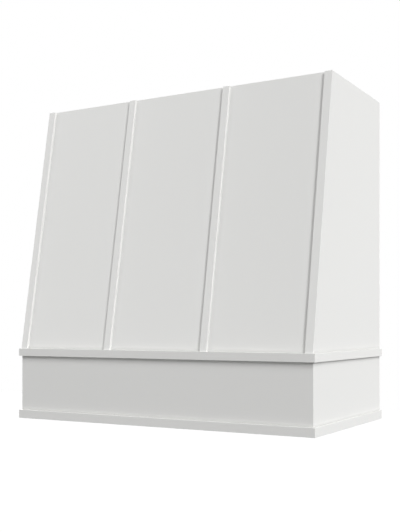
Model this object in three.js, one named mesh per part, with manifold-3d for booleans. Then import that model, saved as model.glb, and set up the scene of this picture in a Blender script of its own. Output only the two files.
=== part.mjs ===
// Wooden range hood cover: a mitred shell with a sloped, battened front above an upright band,
// block trims at the knee and at the base, and an open plywood frame inside that takes a
// ventilation insert from below, a duct through the top and screws into the wall.
//
// Millimetres. +X is right, -Y is the front and +Z is up. The pieces are drawn with the wall
// plane at y = 0 and the underside at z = 0, and the group then brings the origin under the
// middle of the hood.

import * as THREE from "three";
import { mergeVertices } from "three/addons/utils/BufferGeometryUtils.js";
import Module from "manifold-3d";

// Overall form. The width and the depths are to the faces of the shell.
const hoodWidth = 914.4;
const hoodHeight = 917;
const bandDepth = 500;
const topDepth = 368;
const kneeHeight = 184.2;

// Shell sheets, and the glue line left in every joint.
const panelThickness = 19;
const glueLine = 0.3;

// Battens up the slope: one on each corner, and one on each line between two bays.
const bayCount = 3;
const battenWidth = 20;
const cornerBattenWidth = 21.3;
const battenThickness = 6.7;
const battenEase = 0.3;

// Block trims, which wrap the front and both sides. Their edges are eased.
const trimProjection = 6.7;
const upperTrimHeight = 21.5;
const upperTrimLap = 3;
const baseTrimHeight = 24;
const trimTopEase = 0.3;
const trimBackEase = 1;
const trimFootEase = 0.3;

// Rail behind the knee, and the ribs that stand on it behind the inner battens.
const kneeRailDepth = 38;
const kneeRailAbove = 45;
const kneeRailBelow = 45;
const ribThickness = 18;
const ribDepth = 60;
const ribHeelDrop = 40;

// Glue strips up the sloped corners, and glue blocks in the corners of the band.
const cornerStripWidth = 19;
const cornerBlockLeg = 30;

// Shelf that the ventilation insert is screwed up to, and the cleats that hold the shelf.
const shelfThickness = 18;
const shelfHeight = 38;
const insertWidth = 724;
const insertDepth = 292;
const insertFromWall = 240;
const cleatThickness = 19;
const cleatHeight = 38;

// Boards on the wall side.
const nailerThickness = 18;
const upperNailerHeight = 90;
const lowerNailerHeight = 90;
const stileWidth = 50;

// Frame round the open top.
const topFrameThickness = 18;
const topRailWidth = 60;

// Straight pieces in each eased edge.
const easeSegments = 3;

// Sizes that follow from the ones above.
const slope = Math.atan2(bandDepth - topDepth, hoodHeight - kneeHeight);
const halfWidth = hoodWidth / 2;
const insideHalf = halfWidth - panelThickness;
const fitHalf = insideHalf - glueLine;
const fitInset = panelThickness + glueLine;
const fitFront = -bandDepth + fitInset;
const shelfTop = shelfHeight + shelfThickness;
const cleatFoot = shelfTop + glueLine;
const cleatTop = cleatFoot + cleatHeight;
const upperTrimFoot = kneeHeight - upperTrimLap;
const upperTrimTop = upperTrimFoot + upperTrimHeight;
const kneeRailFoot = kneeHeight - kneeRailBelow;
const kneeRailTop = kneeHeight + kneeRailAbove;
const kneeRailBack = fitFront + kneeRailDepth;
const topFrameFoot = hoodHeight - topFrameThickness;
const underTopFrame = topFrameFoot - glueLine;

// Finishes.
const satinPaint = { color: "#dcdcda", roughness: 0.42, metalness: 0 };
const birchPly = { color: "#d3b58a", roughness: 0.7, metalness: 0 };
const pine = { color: "#dcbf8c", roughness: 0.72, metalness: 0 };

const wasm = await Module();
wasm.setup();

const hood = new THREE.Group();

function add(name, geometry, finish) {
  const mesh = new THREE.Mesh(geometry, new THREE.MeshStandardMaterial(finish));
  mesh.name = name;
  hood.add(mesh);
}

// Adds a piece on the right, and its mirror image on the left.
function addPair(name, geometry, finish) {
  add(`${name}_right`, geometry, finish);
  add(`${name}_left`, mirrored(geometry), finish);
}

// The other hand of a piece. Each triangle is turned round, so that it still faces out.
function mirrored(geometry) {
  const copy = geometry.clone();
  const from = geometry.getAttribute("position");
  const to = copy.getAttribute("position");
  const partner = [0, 2, 1];
  for (let i = 0; i < from.count; i += 1) {
    const j = i - (i % 3) + partner[i % 3];
    to.setXYZ(i, -from.getX(j), from.getY(j), from.getZ(j));
  }
  copy.computeVertexNormals();
  return copy;
}

// Extrudes an outline by one unit and then puts each of its points where place(a, b, end) says.
// a and b are the outline's own coordinates and end is 0 or 1, so each end can be cut square,
// bevelled or mitred. The directions of a, b and end are a right-handed set.
function cut(outline, place) {
  const shape = Array.isArray(outline) ? polygon(outline) : outline;
  const geometry = new THREE.ExtrudeGeometry(shape, {
    depth: 1,
    bevelEnabled: false,
    curveSegments: easeSegments,
  });
  const position = geometry.getAttribute("position");
  for (let i = 0; i < position.count; i += 1) {
    const end = Math.round(position.getZ(i));
    position.setXYZ(i, ...place(position.getX(i), position.getY(i), end));
  }
  geometry.computeVertexNormals();
  return geometry;
}

function polygon(points) {
  return new THREE.Shape(points.map(([a, b]) => new THREE.Vector2(a, b)));
}

function solid(geometry) {
  const bare = geometry.clone();
  bare.deleteAttribute("normal");
  bare.deleteAttribute("uv");
  const merged = mergeVertices(bare);
  const vertProperties = merged.getAttribute("position").array;
  const triVerts = Uint32Array.from(merged.getIndex().array);
  return new wasm.Manifold(new wasm.Mesh({ numProp: 3, vertProperties, triVerts }));
}

// What two closed pieces have in common.
function common(first, second) {
  const mesh = solid(first).intersect(solid(second)).getMesh();
  const indexed = new THREE.BufferGeometry();
  indexed.setAttribute("position", new THREE.BufferAttribute(mesh.vertProperties, 3));
  indexed.setIndex(new THREE.BufferAttribute(mesh.triVerts, 1));
  const geometry = indexed.toNonIndexed();
  geometry.computeVertexNormals();
  return geometry;
}

// A board of one (y, z) section that runs across the hood. Each point of the section has its own
// half length, so that the ends can be mitred.
function acrossHood(section, halfLength) {
  return cut(section, (y, z, end) => [(end ? 1 : -1) * halfLength(y, z), y, z]);
}

// A flat piece with one (y, z) outline, between two x.
function upright(outline, left, right) {
  return cut(outline, (y, z, end) => [end ? right : left, y, z]);
}

// A board of one (x, z) section that runs forward from y = back. Each point of the section has
// its own front end.
function forward(section, back, front) {
  return cut(section, (x, z, end) => [x, end ? front(x, z) : back, z]);
}

// A stick that leans with the front. Its section is in (x, inset behind the slope), and its ends
// are cut level.
function upSlope(section, foot, top) {
  return cut(section, (x, inset, end) => {
    const z = end ? top : foot;
    return [x, slopeY(z, inset), z];
  });
}

// A straight board between two x, two y and two z.
function board([left, right], [front, back], [foot, top]) {
  const rectangle = [[front, foot], [back, foot], [back, top], [front, top]];
  return upright(rectangle, left, right);
}

// y at height z of a plane that lies an inset behind the face of the slope.
function slopeY(z, inset) {
  return -bandDepth + inset / Math.cos(slope) + (z - kneeHeight) * Math.tan(slope);
}

// Height at which the planes an inset behind the band and behind the slope meet.
function kneeZ(inset) {
  return kneeHeight - inset * Math.tan(slope / 2);
}

// y at height z of the whole front, drawn in by an inset.
function frontY(z, inset) {
  return z > kneeZ(inset) ? slopeY(z, inset) : -bandDepth + inset;
}

// The front's (y, z) corners at the underside, the knee and the top, drawn in by an inset.
function frontLine(inset) {
  const heights = [0, kneeZ(inset), hoodHeight];
  return heights.map((z) => [frontY(z, inset), z]);
}

// One side of the shell, a sheet mitred along the band and the slope: the inner face has the
// outer one's outline with its front drawn in by the sheet's thickness.
function sidePanel() {
  const outer = [...frontLine(0), [0, hoodHeight], [0, 0]];
  const inner = [...frontLine(panelThickness), [0, hoodHeight], [0, 0]];
  return cut(outer, (y, z, end) => {
    const corner = outer.findIndex(([a, b]) => Math.hypot(a - y, b - z) < glueLine);
    return end ? [halfWidth, ...outer[corner]] : [insideHalf, ...inner[corner]];
  });
}

// Half length, at a depth behind its face, of a sheet mitred to the side panels.
function mitredHalf(depth) {
  return halfWidth - depth - glueLine;
}

// The band's sheet. Its top edge is bevelled to half the angle of the knee.
function bandFront() {
  const [faceFoot, faceKnee] = frontLine(0);
  const [backFoot, backKnee] = frontLine(panelThickness);
  const section = [faceFoot, backFoot, backKnee, faceKnee];
  return acrossHood(section, (y) => mitredHalf(y + bandDepth));
}

// The sloped sheet, which stands on the band's bevelled edge.
function frontPanel() {
  const [, [, faceFoot], [, top]] = frontLine(0);
  const [, [, backFoot]] = frontLine(panelThickness);
  const section = [
    [slopeY(faceFoot + glueLine, 0), faceFoot + glueLine],
    [slopeY(backFoot + glueLine, panelThickness), backFoot + glueLine],
    [slopeY(top, panelThickness), top],
    [slopeY(top, 0), top],
  ];
  return acrossHood(section, (y, z) => mitredHalf((y - slopeY(z, 0)) * Math.cos(slope)));
}

// A batten on the slope, flat behind and eased along both front edges.
function batten(left, right) {
  const seat = -glueLine;
  const easeInset = battenEase - battenThickness;
  const section = new THREE.Shape();
  section.moveTo(right, seat);
  section.lineTo(left, seat);
  section.absarc(left + battenEase, easeInset, battenEase, Math.PI, 1.5 * Math.PI, false);
  section.absarc(right - battenEase, easeInset, battenEase, -0.5 * Math.PI, 0, false);
  return upSlope(section, upperTrimTop + glueLine, hoodHeight);
}

// The x of each line between two bays.
function bayLines() {
  const lines = [];
  for (let bay = 1; bay < bayCount; bay += 1) {
    lines.push((bay / bayCount - 0.5) * hoodWidth);
  }
  return lines;
}

// Section of a block trim in (out, z), where out is measured forward from the face of the band.
// seat(z) is the out of what the trim sits on, and crease is a height where that changes slope.
function trimSection(foot, top, seat, crease) {
  const section = new THREE.Shape();
  const footEaseOut = trimProjection - trimFootEase;
  const topEaseOut = trimProjection - trimTopEase;
  section.moveTo(seat(foot), foot);
  section.absarc(footEaseOut, foot + trimFootEase, trimFootEase, -0.5 * Math.PI, 0, false);
  section.absarc(topEaseOut, top - trimTopEase, trimTopEase, 0, 0.5 * Math.PI, false);
  section.lineTo(seat(top) + trimBackEase, top);
  section.lineTo(seat(top - trimBackEase), top - trimBackEase);
  if (crease) {
    section.lineTo(seat(crease), crease);
  }
  return section;
}

// The room, seen from above, that a trim across the front may take: mitred to the side trims in
// front of the shell's corners, and as wide as the shell behind them.
function frontTrimRoom() {
  const half = halfWidth - glueLine / 2;
  const reach = trimProjection + glueLine;
  const right = [
    [half + reach, -bandDepth - reach],
    [half, -bandDepth],
    [half, fitFront],
  ];
  const left = right.map(([x, y]) => [-x, y]).reverse();
  return cut([...right, ...left], (x, y, end) => [x, y, end ? hoodHeight : -glueLine]);
}

// A trim across the front, from a section in (out, z).
function frontTrim(section) {
  const half = halfWidth + 2 * trimProjection;
  const run = cut(section, (out, z, end) => [end ? -half : half, -bandDepth - out, z]);
  return common(run, frontTrimRoom());
}

// A trim along the right side, from the wall to its mitre.
function sideTrim(section) {
  const run = forward(section, 0, (out) => -bandDepth - out + glueLine / 2);
  return run.translate(halfWidth, 0, 0);
}

// The upper trim laps the band just below the knee, and its front piece leans back above it.
function addUpperTrim() {
  const leaningSeat = (z) => -bandDepth - frontY(z, -glueLine);
  const front = trimSection(upperTrimFoot, upperTrimTop, leaningSeat, kneeZ(-glueLine));
  const side = trimSection(upperTrimFoot, upperTrimTop, () => glueLine);
  add("upper_trim_front", frontTrim(front), satinPaint);
  addPair("upper_trim", sideTrim(side), satinPaint);
}

function addBaseTrim() {
  const section = trimSection(0, baseTrimHeight, () => glueLine);
  add("base_trim_front", frontTrim(section), satinPaint);
  addPair("base_trim", sideTrim(section), satinPaint);
}

function addShell() {
  addPair("side_panel", sidePanel(), satinPaint);
  add("band_front", bandFront(), satinPaint);
  add("front_panel", frontPanel(), satinPaint);
}

function addBattens() {
  addPair("batten_corner", batten(halfWidth - cornerBattenWidth, halfWidth), satinPaint);
  bayLines().forEach((x, i) => {
    const inner = batten(x - battenWidth / 2, x + battenWidth / 2);
    add(`batten_inner_${i + 1}`, inner, satinPaint);
  });
}

// Rail that backs up the knee from inside. Its front is cut to the band and to the slope.
function kneeRail() {
  const section = [
    [fitFront, kneeRailFoot],
    [kneeRailBack, kneeRailFoot],
    [kneeRailBack, kneeRailTop],
    [slopeY(kneeRailTop, fitInset), kneeRailTop],
    [fitFront, kneeZ(fitInset)],
  ];
  return acrossHood(section, () => fitHalf);
}

// A rib behind the slope. Its foot is notched over the knee rail, so that it stands on the rail
// and its heel hangs down behind.
function rib(x) {
  const seat = kneeRailTop + glueLine;
  const heelFront = kneeRailBack + glueLine;
  const heelFoot = seat - ribHeelDrop;
  const ribBack = fitInset + ribDepth;
  const outline = [
    [slopeY(seat, fitInset), seat],
    [heelFront, seat],
    [heelFront, heelFoot],
    [slopeY(heelFoot, ribBack), heelFoot],
    [slopeY(underTopFrame, ribBack), underTopFrame],
    [slopeY(underTopFrame, fitInset), underTopFrame],
  ];
  return upright(outline, x - ribThickness / 2, x + ribThickness / 2);
}

// A square strip glued into the corner between the slope and the right side.
function cornerStrip() {
  const inner = fitHalf - cornerStripWidth;
  const back = fitInset + cornerStripWidth;
  const section = [[inner, fitInset], [fitHalf, fitInset], [fitHalf, back], [inner, back]];
  return upSlope(section, kneeRailTop + glueLine, underTopFrame);
}

// A three-cornered block glued into the corner between the band and the right side.
function cornerBlock() {
  const foot = cleatTop + glueLine;
  const top = kneeRailFoot - glueLine;
  const plan = [
    [fitHalf, fitFront],
    [fitHalf, fitFront + cornerBlockLeg],
    [fitHalf - cornerBlockLeg, fitFront],
  ];
  return cut(plan, (x, y, end) => [x, y, end ? top : foot]);
}

function addInnerFront() {
  add("knee_rail", kneeRail(), pine);
  bayLines().forEach((x, i) => add(`rib_${i + 1}`, rib(x), birchPly));
  addPair("corner_strip", cornerStrip(), pine);
  addPair("corner_block", cornerBlock(), pine);
}

// (x, z) outline of a board that runs across, with the lower half of each end cut away where it
// laps over a board underneath.
function lappedOver(half, lapStart, foot, top) {
  const lap = (foot + top + glueLine) / 2;
  const square = lapStart - glueLine;
  return [
    [-half, top],
    [-half, lap],
    [-square, lap],
    [-square, foot],
    [square, foot],
    [square, lap],
    [half, lap],
    [half, top],
  ];
}

// (y, z) outline of a board that runs forward, with the upper half of each end cut away where
// the boards across lap over it. lapBack and lapFront are those boards' inner edges.
function lappedUnder(front, lapFront, lapBack, foot, top) {
  const lap = (foot + top - glueLine) / 2;
  return [
    [front(foot), foot],
    [0, foot],
    [0, lap],
    [lapBack - glueLine, lap],
    [lapBack - glueLine, top],
    [lapFront + glueLine, top],
    [lapFront + glueLine, lap],
    [front(lap), lap],
  ];
}

// Four half-lapped boards round the opening for the insert.
function addShelf() {
  const openingHalf = insertWidth / 2;
  const openingFront = -insertFromWall - insertDepth / 2;
  const openingBack = -insertFromWall + insertDepth / 2;
  const across = lappedOver(fitHalf, openingHalf, shelfHeight, shelfTop);
  const along = lappedUnder(() => fitFront, openingFront, openingBack, shelfHeight, shelfTop);
  add("shelf_rail_front", forward(across, openingFront, () => fitFront), birchPly);
  add("shelf_rail_rear", forward(across, 0, () => openingBack), birchPly);
  addPair("shelf_rail", upright(along, openingHalf, fitHalf), birchPly);
}

// Cleats glued to the band and to the sides. The shelf is screwed up into them.
function addCleats() {
  const height = [cleatFoot, cleatTop];
  const frontBack = fitFront + cleatThickness;
  const sideLength = [frontBack + glueLine, -nailerThickness - glueLine];
  add("shelf_cleat_front", board([-fitHalf, fitHalf], [fitFront, frontBack], height), pine);
  addPair("shelf_cleat", board([fitHalf - cleatThickness, fitHalf], sideLength, height), pine);
}

// Nailers that take the screws into the wall, and the stiles between them.
function addWallBoards() {
  const acrossInside = [-fitHalf, fitHalf];
  const onWall = [-nailerThickness, 0];
  const lowerTop = cleatFoot + lowerNailerHeight;
  const upperFoot = underTopFrame - upperNailerHeight;
  const between = [lowerTop + glueLine, upperFoot - glueLine];
  add("lower_nailer", board(acrossInside, onWall, [cleatFoot, lowerTop]), birchPly);
  add("upper_nailer", board(acrossInside, onWall, [upperFoot, underTopFrame]), birchPly);
  addPair("rear_stile", board([fitHalf - stileWidth, fitHalf], onWall, between), birchPly);
}

// Four half-lapped boards round the open top. The front one is bevelled to the slope.
function addTopFrame() {
  const openingHalf = fitHalf - topRailWidth;
  const openingFront = slopeY(hoodHeight, fitInset) + topRailWidth;
  const openingBack = -topRailWidth;
  const bevel = (z) => slopeY(z, fitInset);
  const across = lappedOver(fitHalf, openingHalf, topFrameFoot, hoodHeight);
  const along = lappedUnder(bevel, openingFront, openingBack, topFrameFoot, hoodHeight);
  add("top_rail_front", forward(across, openingFront, (x, z) => bevel(z)), birchPly);
  add("top_rail_rear", forward(across, 0, () => openingBack), birchPly);
  addPair("top_rail", upright(along, openingHalf, fitHalf), birchPly);
}

addShell();
addBattens();
addUpperTrim();
addBaseTrim();
addInnerFront();
addShelf();
addCleats();
addWallBoards();
addTopFrame();

hood.position.y = (bandDepth + trimProjection) / 2;

export default hood;
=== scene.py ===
"""A wooden range hood cover: sprayed satin white outside, its plywood and pine frame left raw."""

import math

import bmesh
import bpy
import numpy as np
from mathutils import Matrix, Vector


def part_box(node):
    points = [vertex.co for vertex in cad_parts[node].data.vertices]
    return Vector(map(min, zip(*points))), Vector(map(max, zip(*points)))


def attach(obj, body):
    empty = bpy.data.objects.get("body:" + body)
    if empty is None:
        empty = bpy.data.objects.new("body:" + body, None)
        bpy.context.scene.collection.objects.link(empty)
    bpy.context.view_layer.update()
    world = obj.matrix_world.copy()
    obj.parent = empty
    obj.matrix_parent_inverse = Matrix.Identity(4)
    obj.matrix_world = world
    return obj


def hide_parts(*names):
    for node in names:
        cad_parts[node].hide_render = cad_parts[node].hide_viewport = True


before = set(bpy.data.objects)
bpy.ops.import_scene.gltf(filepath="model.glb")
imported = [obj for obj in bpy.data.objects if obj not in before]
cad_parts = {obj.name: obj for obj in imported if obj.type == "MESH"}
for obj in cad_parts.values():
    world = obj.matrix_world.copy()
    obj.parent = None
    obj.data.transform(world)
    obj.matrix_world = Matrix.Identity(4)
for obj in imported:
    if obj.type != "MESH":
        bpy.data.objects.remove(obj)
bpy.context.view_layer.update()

MM = 0.001

# Directions on the hood. Above the knee the front leans back by its run over its rise, in millimetres.
SLOPE_RUN = 132.0
SLOPE_RISE = 732.8
LEAN = math.atan2(SLOPE_RUN, SLOPE_RISE)
RIGHT = Vector((1, 0, 0))
LEFT = -RIGHT
BACK = Vector((0, 1, 0))
FRONT = -BACK
UP = Vector((0, 0, 1))
DOWN = -UP
UP_SLOPE = Vector((0, math.sin(LEAN), math.cos(LEAN)))
OUT_OF_SLOPE = Vector((0, -math.cos(LEAN), math.sin(LEAN)))

# Faces and levels that rounds, the painted corner shade and fastenings are set out from.
SHELL_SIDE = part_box("side_panel_right")[1].x
BAND_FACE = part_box("band_front")[0].y
TRIM_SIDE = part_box("base_trim_right")[1].x
TRIM_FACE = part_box("base_trim_front")[0].y
BASE_TRIM_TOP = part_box("base_trim_right")[1].z
UPPER_TRIM_FOOT, UPPER_TRIM_TOP = [corner.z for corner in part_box("upper_trim_right")]
KNEE = 184.2 * MM
BATTEN_THICKNESS = 6.7 * MM
BATTENS = ("batten_corner_left", "batten_inner_1", "batten_inner_2", "batten_corner_right")

# Joints are glued and filled: what is left of each gap, and the gaps that the solids have.
HAIRLINE = 0.02 * MM
GLUE_GAP = 0.3 * MM
MITRE_GAP = GLUE_GAP / math.sqrt(2)
TRIM_MITRE_GAP = MITRE_GAP / 2

# Rounds that the sanding block leaves.
SHELL_ROUND = 1.3 * MM
TRIM_ROUND = 1.2 * MM
PAINTED_ARRIS = 0.6 * MM
RAW_ARRIS = 0.45 * MM
ARRIS_FLATS = 2

# Points closer than WELD are one corner of a solid, and closer than SLIVER one point of a finished piece.
WELD = 0.005 * MM
SLIVER = 0.003 * MM

# Faces that turn less than FLAT are one. Edges that turn more than ARRIS are eased or shaded sharp, and
# those of a screw or nail head are shaded sharp past HEAD_ARRIS.
FLAT = math.radians(1)
ARRIS = math.radians(40)
HEAD_ARRIS = math.radians(50)

# How closely a face looks along a direction, as the cosine of the angle between them.
ROUGHLY = 0.7
NEARLY = 0.9
CLOSELY = 0.99
EXACTLY = 0.9995

# Plywood, and the metres of log that lie between one board's grain and the next one's.
VENEER = 1.385 * MM
LOG_ALONG = 2.37
LOG_ACROSS = 0.71

# Paint inside the shell: a painted lip with a ragged, soft end, and spray that thins out above it.
PAINTED_LIP = 41 * MM
LIP_RAGGED = 6 * MM
LIP_SOFT = 2 * MM
SPRAY_REACH = 50 * MM

# How far the painted shade in the concave corners reaches from the trims over the sheets.
SHADE_OVER_BASE = 7 * MM
SHADE_UNDER_KNEE = 5 * MM
SHADE_OVER_KNEE = 10 * MM

# Pine: its growth rings, the heart that they lie round, and how far both wander.
RING_WIDTH = 3.4 * MM
HEART_DEPTH = 62 * MM
HEART_SWING = 45 * MM
RING_WANDER = 16 * MM

# Depths of the finishes' relief.
PAINT_RELIEF = 0.022 * MM
BIRCH_RELIEF = 0.05 * MM
BIRCH_EDGE_RELIEF = 0.12 * MM
INSIDE_RELIEF = 0.04 * MM
PINE_RELIEF = 0.06 * MM
ZINC_RELIEF = 0.01 * MM

# Colours.
PAINT_COLORS = ((0.810, 0.810, 0.796), (0.820, 0.820, 0.805))
# Painted shade: a darker white laid on the sheets in the corners at the trims, where shade falls.
CORNER_SHADE_COLOR = (0.660, 0.660, 0.645)
BIRCH_STOPS = [
    (0.22, (0.760, 0.615, 0.420)),
    (0.48, (0.700, 0.540, 0.340)),
    (0.72, (0.610, 0.445, 0.260)),
]
BIRCH_FLECK = (0.36, 0.22, 0.11)
LONG_GRAIN_STOPS = [(0.25, (0.700, 0.545, 0.355)), (0.75, (0.565, 0.400, 0.225))]
END_GRAIN_STOPS = [(0.25, (0.540, 0.370, 0.205)), (0.75, (0.350, 0.220, 0.110))]
GLUE_COLOR = (0.20, 0.11, 0.05)
EARLYWOOD = (0.725, 0.560, 0.335)
LATEWOOD = (0.560, 0.345, 0.150)
PINE_FIBRE = (0.430, 0.265, 0.120)
PINE_RESIN = (0.300, 0.150, 0.055)
ZINC_COLORS = ((0.60, 0.60, 0.58), (0.72, 0.70, 0.64))

# Pockets for the screws through the ends of the wall boards, drilled into their rear faces.
POCKET_RADIUS = 4.75 * MM
POCKET_TILT = math.radians(15)
POCKET_SEAT = 14 * MM
POCKET_REACH = 62 * MM
POCKET_SIDES = 32
NAILER_POCKETS = 25 * MM
STILE_POCKETS = 12 * MM

# Fastenings: their spacing and the radius of their heads. A pair is one screw at each end of its row.
SCREW_SPACING = 150 * MM
PAIR_SPACING = 50 * MM
POCKET_PAIR_SPACING = 1.0
SCREW_HEAD = 4.4 * MM
NAIL_SPACING = 128 * MM
NAIL_FILL = 1.3 * MM


class Wire:
    """One socket of a finish. Arithmetic on wires adds Math nodes."""

    def __init__(self, finish, socket):
        self.finish = finish
        self.socket = socket

    def reckon(self, operation, *terms):
        return self.finish.add("ShaderNodeMath", {"operation": operation}, dict(enumerate(terms)))

    def __add__(self, other):
        return self.reckon("ADD", self, other)

    __radd__ = __add__

    def __sub__(self, other):
        return self.reckon("SUBTRACT", self, other)

    def __rsub__(self, other):
        return self.reckon("SUBTRACT", other, self)

    def __mul__(self, other):
        return self.reckon("MULTIPLY", self, other)

    __rmul__ = __mul__

    def __truediv__(self, other):
        return self.reckon("DIVIDE", self, other)

    def __pow__(self, other):
        return self.reckon("POWER", self, other)

    def __mod__(self, other):
        return self.reckon("FLOORED_MODULO", self, other)

    def floor(self):
        return self.reckon("FLOOR", self)

    def sine(self):
        return self.reckon("SINE", self)

    def or_more(self, other):
        """The larger of two values."""
        return self.reckon("MAXIMUM", self, other)

    def within(self, low, high):
        """0 up to low, 1 from high on, and a soft step between."""
        settings = {"interpolation_type": "SMOOTHSTEP"}
        return self.finish.add("ShaderNodeMapRange", settings, {0: self, 1: low, 2: high})


class Finish:
    """A material under way, and the nodes that it is mixed from."""

    def __init__(self, name, tree=None):
        if tree is None:
            self.material = bpy.data.materials.new(name)
            self.material.use_nodes = True
            tree = self.material.node_tree
        self.tree = tree
        tree.nodes.clear()

    def add(self, kind, settings=None, inputs=None, output=0):
        """Adds a node, sets it, and then fills its sockets with values or wires."""
        node = self.tree.nodes.new(kind)
        for name, value in (settings or {}).items():
            if name == "stops":
                self.set_stops(node.color_ramp, value)
            else:
                setattr(node, name, value)
        for key, value in (inputs or {}).items():
            if isinstance(value, Wire):
                self.tree.links.new(value.socket, node.inputs[key])
            else:
                node.inputs[key].default_value = value
        return Wire(self, node.outputs[output]) if node.outputs else None

    @staticmethod
    def set_stops(ramp, stops):
        while len(ramp.elements) < len(stops):
            ramp.elements.new(0.5)
        for element, (position, color) in zip(ramp.elements, stops):
            element.position = position
            element.color = (*color, 1)

    def place(self):
        return self.add("ShaderNodeTexCoord", output="Object")

    def board(self):
        """Along the grain, across it and through the thickness of the piece's own board."""
        return self.add("ShaderNodeAttribute", {"attribute_name": "board"}, output="Vector")

    def stretch(self, vector, along):
        return self.add("ShaderNodeVectorMath", {"operation": "MULTIPLY"}, {0: vector, 1: along})

    def parts(self, vector):
        node = self.add("ShaderNodeSeparateXYZ", inputs={0: vector}).socket.node
        return [Wire(self, socket) for socket in node.outputs]

    def noise(self, vector, scale, detail=2.0, distortion=0.0):
        inputs = {"Vector": vector, "Scale": scale, "Detail": detail, "Distortion": distortion}
        return self.add("ShaderNodeTexNoise", inputs=inputs)

    def ramp(self, value, stops):
        return self.add("ShaderNodeValToRGB", {"stops": stops}, {0: value})

    def blend(self, share, first, second):
        first, second = [c if isinstance(c, Wire) else (*c, 1) for c in (first, second)]
        inputs = {0: share, 6: first, 7: second}
        return self.add("ShaderNodeMix", {"data_type": "RGBA"}, inputs, output=2)

    def relief(self, height, depth):
        """A normal from a height of 0 to 1 that stands for a depth in metres."""
        return self.add("ShaderNodeBump", inputs={"Height": height, "Distance": depth})

    def seen(self):
        """1 on rays from the eye and on those that a gloss or glass sends on, and 0 on the rest."""
        path = self.add("ShaderNodeLightPath").socket.node
        kinds = ("Camera", "Glossy", "Transmission")
        eye, gloss, glass = [Wire(self, path.outputs[f"Is {kind} Ray"]) for kind in kinds]
        return eye.or_more(gloss).or_more(glass)

    def surface(self, **inputs):
        named = {name.replace("_", " ").title(): value for name, value in inputs.items()}
        shader = self.add("ShaderNodeBsdfPrincipled", inputs=named)
        self.add("ShaderNodeOutputMaterial", inputs={"Surface": shader})
        return self.material


def sprayed_white(finish):
    """Colour, roughness and relief of the sprayed satin white."""
    place = finish.place()
    cloud = finish.noise(place, 2.6, 2)
    color = finish.blend(cloud, *PAINT_COLORS)
    drift = finish.noise(place, 11, 3)
    peel = finish.noise(place, 620, 1.5)
    nibs = finish.noise(place, 210, 1).within(0.74, 0.80)
    roughness = 0.36 + drift * 0.09 + peel * 0.03
    return color, roughness, peel * 0.5 + nibs * 0.5


def satin_paint():
    finish = Finish("satin_paint")
    color, roughness, height = sprayed_white(finish)
    normal = finish.relief(height, PAINT_RELIEF)
    return finish.surface(base_color=color, roughness=roughness, normal=normal)


def sheet_paint():
    """The same white on the shell's sheets, darkened by a painted shade in the corners at the trims."""
    finish = Finish("satin_paint_on_sheet")
    color, roughness, relief = sprayed_white(finish)
    height = finish.parts(finish.place())[2]
    at_base = 1.0 - height.within(BASE_TRIM_TOP, BASE_TRIM_TOP + SHADE_OVER_BASE)
    from_below = height.within(UPPER_TRIM_FOOT - SHADE_UNDER_KNEE, UPPER_TRIM_FOOT)
    from_above = 1.0 - height.within(UPPER_TRIM_TOP, UPPER_TRIM_TOP + SHADE_OVER_KNEE)
    # Painted shade: the sheet is darkened, and made a little rougher, in the corners over the base trim
    # and under and over the upper trim.
    painted_shade = at_base.or_more(from_below * from_above)
    color = finish.blend(painted_shade, color, CORNER_SHADE_COLOR)
    normal = finish.relief(relief, PAINT_RELIEF)
    return finish.surface(base_color=color, roughness=roughness + painted_shade * 0.08, normal=normal)


def birch_veneer(finish):
    """Colour, roughness and relief of a sanded rotary-cut birch face."""
    board = finish.board()
    figure = finish.noise(finish.stretch(board, (1.7, 9.0, 1.0)), 1.0, 3, 1.6)
    rings = (figure * 9.0) % 1.0
    streaks = finish.noise(finish.stretch(board, (5.0, 130.0, 20.0)), 1.0, 3)
    pores = finish.noise(finish.stretch(board, (90.0, 1500.0, 200.0)), 1.0, 1)
    flecks = pores.within(0.66, 0.74)
    tone = rings * 0.24 + streaks * 0.5 + figure * 0.26
    color = finish.ramp(tone, BIRCH_STOPS)
    color = finish.blend(flecks * 0.35, color, BIRCH_FLECK)
    roughness = 0.56 + streaks * 0.14
    return color, roughness, streaks * 0.6 + (1.0 - flecks) * 0.4


def birch_face():
    finish = Finish("birch_ply_face")
    color, roughness, height = birch_veneer(finish)
    normal = finish.relief(height, BIRCH_RELIEF)
    return finish.surface(base_color=color, roughness=roughness, normal=normal)


def birch_edge():
    """The cut edge of the plywood, whose veneers run along it and across it by turns."""
    finish = Finish("birch_ply_edge")
    board = finish.board()
    through = finish.parts(board)[2] / VENEER
    layer = through.floor()
    crossed = layer % 2.0
    glue = (through % 1.0).within(0.86, 0.97)
    own_tone = finish.add("ShaderNodeTexWhiteNoise", {"noise_dimensions": "1D"}, {"W": layer})
    long_grain = finish.noise(finish.stretch(board, (14.0, 14.0, 900.0)), 1.0, 2)
    end_grain = finish.noise(board, 1500, 2)
    pale = finish.ramp(long_grain * 0.7 + own_tone * 0.3, LONG_GRAIN_STOPS)
    dark = finish.ramp(end_grain * 0.75 + own_tone * 0.25, END_GRAIN_STOPS)
    color = finish.blend(crossed, pale, dark)
    color = finish.blend(glue * 0.6, color, GLUE_COLOR)
    height = (1.0 - glue) * 0.5 + end_grain * crossed * 0.5
    normal = finish.relief(height, BIRCH_EDGE_RELIEF)
    return finish.surface(base_color=color, roughness=0.66 + crossed * 0.14, normal=normal)


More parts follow.
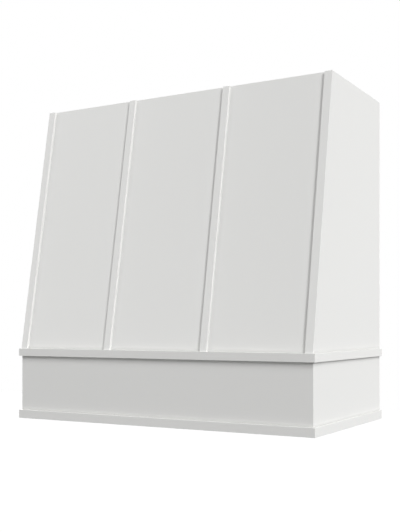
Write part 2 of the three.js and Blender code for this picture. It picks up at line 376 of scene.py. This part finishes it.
def shell_inside():
    """The inner face of a shell sheet: painted at the lip, and dusted by the spray above it."""
    finish = Finish("shell_inside")
    white, white_roughness, white_height = sprayed_white(finish)
    wood, wood_roughness, wood_height = birch_veneer(finish)
    place = finish.place()
    height = finish.parts(place)[2]
    ragged = finish.noise(place, 55, 4)
    lip = 1.0 - (height + ragged * LIP_RAGGED).within(PAINTED_LIP, PAINTED_LIP + LIP_SOFT)
    fade = 1.0 - height.within(PAINTED_LIP, PAINTED_LIP + SPRAY_REACH)
    dusted = finish.noise(place, 900, 2).within(0.50, 0.62) * fade * 0.6
    painted = lip.or_more(dusted)
    color = finish.blend(painted, wood, white)
    roughness = wood_roughness + painted * (white_roughness - wood_roughness)
    normal = finish.relief(wood_height + painted * (white_height - wood_height), INSIDE_RELIEF)
    return finish.surface(base_color=color, roughness=roughness, normal=normal)


def planed_pine():
    """Solid pine, cut from around a heart that lies beside the board."""
    finish = Finish("pine")
    board = finish.board()
    _, across, through = finish.parts(board)
    sway = finish.noise(finish.stretch(board, (2.2, 8.0, 8.0)), 1.0, 2)
    wander = (sway - 0.5) * RING_WANDER
    sideways = (across * 9.0).sine() * HEART_SWING + wander
    deep = through + HEART_DEPTH + wander
    radius = (sideways * sideways + deep * deep) ** 0.5
    ring = (radius / RING_WIDTH) % 1.0
    latewood = ring.within(0.30, 0.88) * (1.0 - ring.within(0.93, 0.99))
    fibre = finish.noise(finish.stretch(board, (9.0, 900.0, 900.0)), 1.0, 3)
    resin = finish.noise(finish.stretch(board, (60.0, 1300.0, 1300.0)), 1.0, 1).within(0.70, 0.76)
    color = finish.blend(latewood * 0.8, EARLYWOOD, LATEWOOD)
    color = finish.blend(fibre * 0.28, color, PINE_FIBRE)
    color = finish.blend(resin * 0.3, color, PINE_RESIN)
    roughness = 0.52 + fibre * 0.18 - latewood * 0.06
    normal = finish.relief(latewood * 0.5 + fibre * 0.5, PINE_RELIEF)
    return finish.surface(base_color=color, roughness=roughness, normal=normal)


def zinc():
    finish = Finish("zinc_screw")
    place = finish.place()
    spangle = finish.noise(place, 420, 3)
    fine = finish.noise(place, 2400, 2)
    color = finish.blend(spangle, *ZINC_COLORS)
    roughness = 0.24 + spangle * 0.18
    normal = finish.relief(fine, ZINC_RELIEF)
    return finish.surface(base_color=color, roughness=roughness, metallic=1.0, normal=normal)


PAINT = satin_paint()
SHEET_PAINT = sheet_paint()
BIRCH = birch_face()
BIRCH_EDGE = birch_edge()
INSIDE = shell_inside()
PINE = planed_pine()
ZINC = zinc()


def linked(name, data):
    """A new object in the scene."""
    made = bpy.data.objects.new(name, data)
    bpy.context.scene.collection.objects.link(made)
    return made


def meshed(name, shape):
    """Turns a shape under way into a mesh."""
    mesh = bpy.data.meshes.new(name)
    shape.to_mesh(mesh)
    shape.free()
    return mesh


def middle(node):
    low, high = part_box(node)
    return (low + high) / 2


def looks(face, direction, closeness=CLOSELY):
    return face.normal.dot(direction) > closeness


def welded(node):
    """A node's solid in one skin, with each flat face whole."""
    piece = bmesh.new()
    piece.from_mesh(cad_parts[node].data)
    bmesh.ops.remove_doubles(piece, verts=piece.verts, dist=WELD)
    bmesh.ops.dissolve_limit(piece, angle_limit=FLAT, verts=piece.verts, edges=piece.edges)
    piece.normal_update()
    return piece


def close_seams(piece, seams):
    """Moves each face that looks into a seam up to the hairline that the filler leaves."""
    steps = {}
    for corner in piece.verts:
        normals = [face.normal for face in corner.link_faces]
        gaps = [
            sum(gap - HAIRLINE for direction, gap in seams if looks(face, direction, EXACTLY))
            for face in corner.link_faces
        ]
        if any(gaps):
            steps[corner] = np.linalg.pinv(np.array(normals), rcond=1e-3) @ np.array(gaps)
    for corner, step in steps.items():
        corner.co += Vector(step)
    piece.normal_update()


def round_corner(piece, side, front, radius):
    """Planes the upright corner over a mitre to a round, in three flats."""
    hand = math.copysign(1, side)
    centre = Vector((side - hand * radius, front + radius, 0))
    for quarter in (0.25, 0.5, 0.75):
        turn = quarter * math.pi / 2
        normal = Vector((hand * math.cos(turn), -math.sin(turn), 0))
        shaved = bmesh.ops.bisect_plane(
            piece,
            geom=[*piece.verts, *piece.edges, *piece.faces],
            plane_co=centre + normal * radius,
            plane_no=normal,
            clear_outer=True,
        )
        rim = [cut for cut in shaved["geom_cut"] if isinstance(cut, bmesh.types.BMEdge)]
        if rim:
            bmesh.ops.holes_fill(piece, edges=rim)
    piece.normal_update()


def ease(piece, radius, kept=()):
    """Rounds every outer arris, apart from those of the faces that look along a kept direction."""
    arrises = [
        edge
        for edge in piece.edges
        if len(edge.link_faces) == 2
        and edge.calc_face_angle_signed() > ARRIS
        and not any(looks(face, way) for face in edge.link_faces for way in kept)
    ]
    bmesh.ops.bevel(
        piece,
        geom=arrises,
        offset=radius,
        offset_type="OFFSET",
        segments=ARRIS_FLATS,
        profile=0.5,
        affect="EDGES",
        clamp_overlap=True,
    )
    piece.normal_update()


def lay_out_grain(piece, number, grain, thickness):
    """Writes where each point lies on its board, with the face of the board at 0."""
    board = piece.verts.layers.float_vector.new("board")
    width = thickness.cross(grain)
    face = min(corner.co.dot(thickness) for corner in piece.verts)
    for corner in piece.verts:
        along = corner.co.dot(grain) + LOG_ALONG * number
        across = corner.co.dot(width) + LOG_ACROSS * number
        corner[board] = (along, across, corner.co.dot(thickness) - face)


def bring_in(name, piece, finishes):
    """Turns a finished shape into an object that rides on the hood."""
    bmesh.ops.remove_doubles(piece, verts=piece.verts, dist=SLIVER)
    for edge in piece.edges:
        if len(edge.link_faces) == 2:
            edge.smooth = edge.calc_face_angle(0) < ARRIS
    for face in piece.faces:
        face.smooth = True
    mesh = meshed(name, piece)
    for finish in finishes:
        mesh.materials.append(finish)
    made = linked(name, mesh)
    even = made.modifiers.new("even_shading", "WEIGHTED_NORMAL")
    even.keep_sharp = True
    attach(made, "root")
    return made


def sheet(node, number, outward, seams, grain=UP):
    """A painted sheet of the shell, raw inside and on the edge against the wall."""
    piece = welded(node)
    close_seams(piece, seams)
    for hand in (1, -1):
        round_corner(piece, hand * SHELL_SIDE, BAND_FACE, SHELL_ROUND)
    ease(piece, PAINTED_ARRIS, kept=[way for way, _ in seams])
    lay_out_grain(piece, number, grain, outward)
    for face in piece.faces:
        if looks(face, -outward, NEARLY):
            face.material_index = 1
        elif looks(face, BACK, NEARLY):
            face.material_index = 2
    made = bring_in(f"{node}_painted", piece, [SHEET_PAINT, INSIDE, BIRCH_EDGE])
    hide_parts(node)


def strip(node, seams, corners=()):
    """A painted batten or trim."""
    piece = welded(node)
    close_seams(piece, seams)
    for side, front in corners:
        round_corner(piece, side, front, TRIM_ROUND)
    made = bring_in(f"{node}_painted", piece, [PAINT])
    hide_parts(node)


def pockets(node, along, spread):
    """The end centres and the ways out of the two screw pockets at each end of a wall board."""
    low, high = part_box(node)
    reach = abs((high - low).dot(along)) / 2
    across = along.cross(BACK)
    found = []
    for hand in (1, -1):
        way_out = (BACK * math.sin(POCKET_TILT) - along * hand * math.cos(POCKET_TILT)).normalized()
        for side in (1, -1):
            end = middle(node) + along * hand * reach + across * side * spread
            found.append((end, way_out))
    return found


def drilled(piece, holes):
    """The piece with a flat-bottomed hole bored for each pocket."""
    drill = bmesh.new()
    depth = POCKET_REACH - POCKET_SEAT
    for end, way_out in holes:
        turn = way_out.to_track_quat("Z", "Y").to_matrix().to_4x4()
        place = Matrix.Translation(end + way_out * (POCKET_SEAT + depth / 2)) @ turn
        bmesh.ops.create_cone(
            drill,
            cap_ends=True,
            segments=POCKET_SIDES,
            radius1=POCKET_RADIUS,
            radius2=POCKET_RADIUS,
            depth=depth,
            matrix=place,
        )
    board, bits = [linked("drilling", meshed("drilling", shape)) for shape in (piece, drill)]
    bore = board.modifiers.new("bore", "BOOLEAN")
    bore.operation = "DIFFERENCE"
    bore.solver = "EXACT"
    bore.object = bits
    seen = board.evaluated_get(bpy.context.evaluated_depsgraph_get())
    result = bmesh.new()
    result.from_mesh(seen.to_mesh())
    seen.to_mesh_clear()
    for made in (board, bits):
        bpy.data.objects.remove(made)
    result.normal_update()
    return result


def raw_board(node, number, grain, thickness, slot):
    """A board of the frame inside, with its arrises eased."""
    piece = welded(node)
    ease(piece, RAW_ARRIS)
    if node in POCKETS:
        piece = drilled(piece, POCKETS[node])
    lay_out_grain(piece, number, grain, thickness)
    if slot == "birch_ply":
        for face in piece.faces:
            face.material_index = int(abs(face.normal.dot(thickness)) < ROUGHLY)
        finishes = [BIRCH, BIRCH_EDGE]
    else:
        finishes = [PINE]
    made = bring_in(f"{node}_planed", piece, finishes)
    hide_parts(node)


def mitre(hand, face):
    """The way that a mitred end looks, on a sheet or trim whose face looks along face."""
    return (RIGHT * hand - face).normalized()


def make_shell():
    """The four sheets. At the corner mitres the sheets across the front close the whole gap."""
    for number, (node, hand) in enumerate((("side_panel_right", 1), ("side_panel_left", -1))):
        outward = RIGHT * hand
        joints = [((FRONT - outward).normalized(), HAIRLINE)]
        joints.append(((OUT_OF_SLOPE - outward).normalized(), HAIRLINE))
        sheet(node, number, outward, joints)
    band = [(mitre(hand, FRONT), MITRE_GAP) for hand in (1, -1)]
    band.append(((UP_SLOPE + UP).normalized(), HAIRLINE))
    sheet("band_front", 2, FRONT, band, grain=RIGHT)
    panel = [(mitre(hand, OUT_OF_SLOPE), MITRE_GAP) for hand in (1, -1)]
    panel.append((-(UP_SLOPE + UP).normalized(), GLUE_GAP))
    sheet("front_panel", 3, OUT_OF_SLOPE, panel, grain=UP_SLOPE)


def make_strips():
    """Battens, and the trims that wrap the shell below them and stand a glue line off it."""
    for node in BATTENS:
        strip(node, [(-OUT_OF_SLOPE, GLUE_GAP), (DOWN, GLUE_GAP)])
    for trim in ("upper_trim", "base_trim"):
        seams = [(mitre(hand, FRONT), TRIM_MITRE_GAP) for hand in (1, -1)]
        strip(f"{trim}_front", seams, [(hand * TRIM_SIDE, TRIM_FACE) for hand in (1, -1)])
        for side, hand in (("right", 1), ("left", -1)):
            seams = [((FRONT - RIGHT * hand).normalized(), TRIM_MITRE_GAP)]
            strip(f"{trim}_{side}", seams, [(hand * TRIM_SIDE, TRIM_FACE)])


# The frame inside: grain and thickness of each board, and what it is cut from.
FRAME_BOARDS = [
    ("knee_rail", RIGHT, FRONT, "pine"),
    ("rib_1", UP_SLOPE, RIGHT, "birch_ply"),
    ("rib_2", UP_SLOPE, RIGHT, "birch_ply"),
    ("corner_strip_right", UP_SLOPE, RIGHT, "pine"),
    ("corner_strip_left", UP_SLOPE, LEFT, "pine"),
    ("corner_block_right", UP, RIGHT, "pine"),
    ("corner_block_left", UP, LEFT, "pine"),
    ("shelf_rail_front", RIGHT, UP, "birch_ply"),
    ("shelf_rail_rear", RIGHT, UP, "birch_ply"),
    ("shelf_rail_right", BACK, UP, "birch_ply"),
    ("shelf_rail_left", BACK, UP, "birch_ply"),
    ("shelf_cleat_front", RIGHT, FRONT, "pine"),
    ("shelf_cleat_right", BACK, RIGHT, "pine"),
    ("shelf_cleat_left", BACK, LEFT, "pine"),
    ("lower_nailer", RIGHT, BACK, "birch_ply"),
    ("upper_nailer", RIGHT, BACK, "birch_ply"),
    ("rear_stile_right", UP, BACK, "birch_ply"),
    ("rear_stile_left", UP, BACK, "birch_ply"),
    ("top_rail_front", RIGHT, UP, "birch_ply"),
    ("top_rail_rear", RIGHT, UP, "birch_ply"),
    ("top_rail_right", BACK, UP, "birch_ply"),
    ("top_rail_left", BACK, UP, "birch_ply"),
]

# The two nailers are screwed to the side panels, and the stiles to the nailers.
NAILERS = ("lower_nailer", "upper_nailer")
STILES = ("rear_stile_right", "rear_stile_left")
POCKETS = {node: pockets(node, RIGHT, NAILER_POCKETS) for node in NAILERS}
POCKETS |= {node: pockets(node, UP, STILE_POCKETS) for node in STILES}

# The number of the frame's first board, which sets its place on the log apart from the sheets'.
FIRST_BOARD = 7


def make_frame():
    for number, (node, grain, thickness, slot) in enumerate(FRAME_BOARDS):
        raw_board(node, number + FIRST_BOARD, grain, thickness, slot)


# Rings of a head of radius 1 as (radius, height), from its seat to its top.
SCREW_RINGS = [(1.0, 0.0), (1.0, 0.10), (0.80, 0.30), (0.60, 0.42), (0.52, 0.45)]
FILL_RINGS = [(1.0, 0.0), (0.8, 0.035), (0.45, 0.07)]
FILL_SIDES = 12

# The cross recess: its depth, and its radius at each step round, which repeats on all four arms.
RECESS_DEPTH = 0.36
RECESS = [0.42, 0.21, 0.14, 0.13, 0.14, 0.21] * 4


def lathed(name, rings, recess=(), depth=0.0, sides=len(RECESS)):
    """A head of radius 1 that stands on its origin, with a cross recess if it has one."""
    head = bmesh.new()
    levels = [([radius] * sides, height) for radius, height in rings]
    if recess:
        top = rings[-1][1]
        levels += [(recess, top), (recess, top - depth)]
    turns = [2 * math.pi * step / sides for step in range(sides)]
    loops = []
    for radii, height in levels:
        loops.append(
            [
                head.verts.new((radius * math.cos(turn), radius * math.sin(turn), height))
                for radius, turn in zip(radii, turns)
            ]
        )
    for lower, upper in zip(loops, loops[1:]):
        for step in range(sides):
            after = (step + 1) % sides
            head.faces.new((lower[step], lower[after], upper[after], upper[step]))
    head.faces.new(loops[-1])
    head.faces.new(reversed(loops[0]))
    for face in head.faces:
        face.smooth = True
    for edge in head.edges:
        edge.smooth = len(edge.link_faces) < 2 or edge.calc_face_angle(0) < HEAD_ARRIS
    return bpy.data.objects.new(name, meshed(name, head))


def rows_tree():
    """Geometry nodes that set a fastening every so far along each edge, facing as it says."""
    tree = bpy.data.node_groups.new("rows_of_fastenings", "GeometryNodeTree")
    sockets = [
        ("Rows", "INPUT", "Geometry"),
        ("Spacing", "INPUT", "Float"),
        ("Radius", "INPUT", "Float"),
        ("Head", "INPUT", "Object"),
        ("Finish", "INPUT", "Material"),
        ("Seed", "INPUT", "Int"),
        ("Fastenings", "OUTPUT", "Geometry"),
    ]
    for label, way, kind in sockets:
        tree.interface.new_socket(label, in_out=way, socket_type=f"NodeSocket{kind}")

    def node(kind, settings=None, **links):
        made = tree.nodes.new(kind)
        for name, value in (settings or {}).items():
            setattr(made, name, value)
        for name, value in links.items():
            target = made.inputs[name.replace("_", " ")]
            if isinstance(value, bpy.types.NodeSocket):
                tree.links.new(value, target)
            else:
                target.default_value = value
        return made

    given = node("NodeGroupInput").outputs
    line = node("GeometryNodeMeshToCurve", Mesh=given["Rows"])
    spaced = node(
        "GeometryNodeResampleCurve",
        {"mode": "LENGTH"},
        Curve=line.outputs["Curve"],
        Length=given["Spacing"],
    )
    facing = node("GeometryNodeInputNamedAttribute", {"data_type": "FLOAT_VECTOR"}, Name="facing")
    upright = node("FunctionNodeAlignRotationToVector", {"axis": "Z"}, Vector=facing.outputs[0])
    spin = node("FunctionNodeRandomValue", {"data_type": "FLOAT"}, Seed=given["Seed"])
    largest_float = 3
    spin.inputs[largest_float].default_value = math.tau
    turned = node("FunctionNodeAxisAngleToRotation", Axis=(0, 0, 1), Angle=spin.outputs[1])
    rotation = node(
        "FunctionNodeRotateRotation",
        {"rotation_space": "LOCAL"},
        Rotation=upright.outputs[0],
        Rotate_By=turned.outputs[0],
    )
    head = node("GeometryNodeObjectInfo", Object=given["Head"])
    placed = node(
        "GeometryNodeInstanceOnPoints",
        Points=spaced.outputs["Curve"],
        Instance=head.outputs["Geometry"],
        Rotation=rotation.outputs[0],
        Scale=given["Radius"],
    )
    real = node("GeometryNodeRealizeInstances", Geometry=placed.outputs["Instances"])
    dressed = node(
        "GeometryNodeSetMaterial", Geometry=real.outputs["Geometry"], Material=given["Finish"]
    )
    node("NodeGroupOutput", Fastenings=dressed.outputs["Geometry"])
    return tree


def fasten(name, tree, rows, head, finish, spacing, radius, seed):
    """Runs the tree over rows of (start, end, facing) and keeps what it makes as one mesh."""
    lines = bmesh.new()
    facing = lines.verts.layers.float_vector.new("facing")
    for start, end, way in rows:
        ends = [lines.verts.new(point) for point in (start, end)]
        for point in ends:
            point[facing] = way
        lines.edges.new(ends)
    carrier = linked(f"{name}_rows", meshed(f"{name}_rows", lines))
    modifier = carrier.modifiers.new("rows", "NODES")
    modifier.node_group = tree
    sockets = {item.name: item.identifier for item in tree.interface.items_tree}
    given = {"Spacing": spacing, "Radius": radius, "Head": head, "Finish": finish, "Seed": seed}
    for label, value in given.items():
        modifier[sockets[label]] = value
    seen = carrier.evaluated_get(bpy.context.evaluated_depsgraph_get())
    kept = bpy.data.meshes.new_from_object(seen)
    kept.name = name
    bpy.data.objects.remove(carrier)
    made = linked(name, kept)
    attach(made, "root")


# Where the two screws of a lap stand: from the opening's edge outwards, and from front to back.
LAP_INNER = 22 * MM
LAP_OUTER = 54 * MM
LAP_DEPTH = 34 * MM

# How far the rows stop short of the middles of the cleats and the nailer that they run up to, and the
# nails short of the battens' ends.
ACROSS_INSET = 60 * MM
SIDE_INSET = 45 * MM
CLEAT_INSET_FRONT = 80 * MM
CLEAT_INSET_REAR = 60 * MM
NAIL_INSET_FOOT = 45 * MM
NAIL_INSET_TOP = 35 * MM

# Half the length of the rows through the front cleat and the knee rail, and the latter's level.
CLEAT_ROW = 360 * MM
KNEE_ROW = 390 * MM
KNEE_ROW_LEVEL = 20 * MM

# Where the laps' screws stand: on the shelf from its front edge and from the wall, and on the top frame
# from the side boards' inner edges, the front board's rear edge and the wall.
SHELF_LAP_FRONT = 40 * MM
SHELF_LAP_REAR = 36 * MM
TOP_LAP_SIDE = 8 * MM
TOP_LAP_FRONT = 42 * MM
TOP_LAP_REAR = 12 * MM


def lap_pairs(height, inner, front, back):
    """Two screws up across each of the four laps of a frame, as short rows."""
    rows = []
    for hand in (1, -1):
        for y_near, y_far in ((front, front + LAP_DEPTH), (back, back - LAP_DEPTH)):
            start = (hand * (inner + LAP_INNER), y_near, height)
            end = (hand * (inner + LAP_OUTER), y_far, height)
            rows.append((start, end, DOWN))
    return rows


def shelf_rows():
    """Up through the shelf into the cleats, and at the back into the lower nailer."""
    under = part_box("shelf_rail_front")[0].z
    front = middle("shelf_cleat_front").y
    rear = middle("lower_nailer").y
    side = middle("shelf_cleat_right").x
    reach = side - ACROSS_INSET
    rows = [((-reach, y, under), (reach, y, under), DOWN) for y in (front, rear)]
    for x in (side, -side):
        rows.append(((x, front + SIDE_INSET, under), (x, rear - SIDE_INSET, under), DOWN))
    return rows


def shelf_laps():
    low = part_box("shelf_rail_front")[0]
    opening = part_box("shelf_rail_right")[0].x
    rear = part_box("lower_nailer")[1].y
    return lap_pairs(low.z, opening, low.y + SHELF_LAP_FRONT, rear - SHELF_LAP_REAR)


def cleat_rows():
    """From inside, through the cleats and the knee rail into the sheets."""
    front = middle("shelf_cleat_front")
    inner_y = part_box("shelf_cleat_front")[1].y
    inner_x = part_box("shelf_cleat_right")[0].x
    rows = [((-CLEAT_ROW, inner_y, front.z), (CLEAT_ROW, inner_y, front.z), BACK)]
    for hand in (1, -1):
        start = (hand * inner_x, front.y + CLEAT_INSET_FRONT, front.z)
        end = (hand * inner_x, middle("lower_nailer").y - CLEAT_INSET_REAR, front.z)
        rows.append((start, end, LEFT * hand))
    rail_low, rail_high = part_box("knee_rail")
    level = rail_low.z + KNEE_ROW_LEVEL
    rows.append(((-KNEE_ROW, rail_high.y, level), (KNEE_ROW, rail_high.y, level), BACK))
    return rows


def top_laps():
    low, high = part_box("top_rail_rear")
    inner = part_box("top_rail_right")[0].x - TOP_LAP_SIDE
    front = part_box("top_rail_front")[1].y - TOP_LAP_FRONT
    return lap_pairs(low.z, inner, front, high.y - TOP_LAP_REAR)


def pocket_rows():
    rows = []
    for holes in POCKETS.values():
        for (first, way_out), (second, _) in zip(holes[::2], holes[1::2]):
            seat = way_out * (POCKET_SEAT + HAIRLINE)
            rows.append((first + seat, second + seat, way_out))
    return rows


def nail_rows():
    """Down the middle of each batten's face."""
    rows = []
    for node in BATTENS:
        low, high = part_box(node)
        ends = []
        for z in (low.z + NAIL_INSET_FOOT, high.z - NAIL_INSET_TOP):
            seat = Vector(((low.x + high.x) / 2, BAND_FACE + (z - KNEE) * math.tan(LEAN), z))
            ends.append(seat + OUT_OF_SLOPE * BATTEN_THICKNESS)
        rows.append((*ends, OUT_OF_SLOPE))
    return rows


def make_fastenings():
    """Screws and filled nails. Each call's last number is the seed of its heads' turns."""
    tree = rows_tree()
    screw = lathed("screw_head", SCREW_RINGS, RECESS, RECESS_DEPTH)
    fill = lathed("nail_fill", FILL_RINGS, sides=FILL_SIDES)

    def screws(name, rows, spacing, seed):
        fasten(name, tree, rows, screw, ZINC, spacing, SCREW_HEAD, seed)

    screws("shelf_screws", shelf_rows(), SCREW_SPACING, 1)
    screws("lap_screws", shelf_laps(), PAIR_SPACING, 2)
    screws("cleat_screws", cleat_rows(), SCREW_SPACING, 3)
    screws("top_frame_screws", top_laps(), PAIR_SPACING, 4)
    screws("pocket_screws", pocket_rows(), POCKET_PAIR_SPACING, 6)
    nails = nail_rows()
    fasten("filled_nails", tree, nails, fill, PAINT, NAIL_SPACING, NAIL_FILL, 5)
    for head in (screw, fill):
        bpy.data.objects.remove(head)


FLOOR_LEVEL = -3.0
FLOOR_REACH = 30
FLOOR_PAPER = (0.2, 0.2, 0.2, 1)
FLOOR_GLOW = 0.8
SKY_COLOR = (1, 1, 1, 1)
SKY_LIGHT = 0.62


def make_stage():
    """A floor far below the hood that looks white, and lets the light of the low lamp through."""
    finish = Finish("floor")
    seen = finish.seen()
    paper = finish.add("ShaderNodeBsdfDiffuse", inputs={"Color": FLOOR_PAPER})
    glow = finish.add("ShaderNodeEmission", inputs={"Strength": seen * FLOOR_GLOW})
    both = finish.add("ShaderNodeAddShader", inputs={0: paper, 1: glow})
    finish.add("ShaderNodeOutputMaterial", inputs={"Surface": both})
    mesh = bpy.data.meshes.new("floor")
    corners = [
        (x * FLOOR_REACH, y * FLOOR_REACH, FLOOR_LEVEL)
        for x, y in ((-1, -1), (1, -1), (1, 1), (-1, 1))
    ]
    mesh.from_pydata(corners, [], [(0, 1, 2, 3)])
    mesh.materials.append(finish.material)
    floor = linked("floor", mesh)
    floor.visible_shadow = False


def light_room():
    """A soft sky, brightest overhead, that looks white where it is seen or mirrored."""
    world = bpy.data.worlds.new("room")
    world.use_nodes = True
    bpy.context.scene.world = world
    room = Finish("room", world.node_tree)
    seen = room.seen()
    height = room.parts(room.add("ShaderNodeTexCoord", output="Generated"))[2]
    light = height.or_more(0.0) * SKY_LIGHT
    strength = light + seen * (1.0 - light)
    sky = room.add("ShaderNodeBackground", inputs={"Color": SKY_COLOR, "Strength": strength})
    room.add("ShaderNodeOutputWorld", inputs={"Surface": sky})


# Each lamp's name, its bearing from the front towards the right, its height in degrees, and its
# strength. All are wide and far away, so that each face is lit evenly.
LAMPS = [
    ("right_high", 60, 50, 1.14),
    ("right_middle", 60, 28, 1.38),
    ("right_side", 97, 12, 0.60),
    ("left_high", -65, 40, 0.70),
    ("left_low", -40, 15, 0.20),
    ("left_side", -100, 4, 0.85),
    ("behind_left", -145, 6, 0.90),
    ("behind", -168, 4, 1.10),
    ("from_below", 0, -88, 0.50),
]
LAMP_WIDTH = math.radians(16)


def hang_lamps():
    for name, bearing, height, strength in LAMPS:
        lamp = bpy.data.lights.new(name, "SUN")
        lamp.angle = LAMP_WIDTH
        lamp.energy = strength
        hung = linked(name, lamp)
        turn, rise = math.radians(bearing), math.radians(height)
        level = RIGHT * math.sin(turn) + FRONT * math.cos(turn)
        shine = -(level * math.cos(rise) + UP * math.sin(rise))
        hung.rotation_euler = shine.to_track_quat("-Z", "Y").to_euler()


# The viewpoint in metres, its turn, its lens and frame in millimetres, and its rise as a share.
VIEWPOINT = (1.2656, -2.20925, 0.2722)
VIEW_TURN = math.radians(29.78)
VIEW_LENS = 59.17
VIEW_FRAME = 36
VIEW_RISE = 0.1102


def set_camera():
    """Level, 30 degrees round to the right, with the view shifted up to hold the hood."""
    lens = bpy.data.cameras.new("camera")
    lens.sensor_width = VIEW_FRAME
    lens.lens = VIEW_LENS
    lens.shift_y = VIEW_RISE
    camera = linked("camera", lens)
    camera.location = VIEWPOINT
    camera.rotation_euler = (math.pi / 2, 0, VIEW_TURN)
    bpy.context.scene.camera = camera


set_camera()
make_shell()
make_strips()
make_frame()
make_fastenings()
make_stage()
light_room()
hang_lamps()
bpy.context.scene.view_settings.view_transform = "Standard"
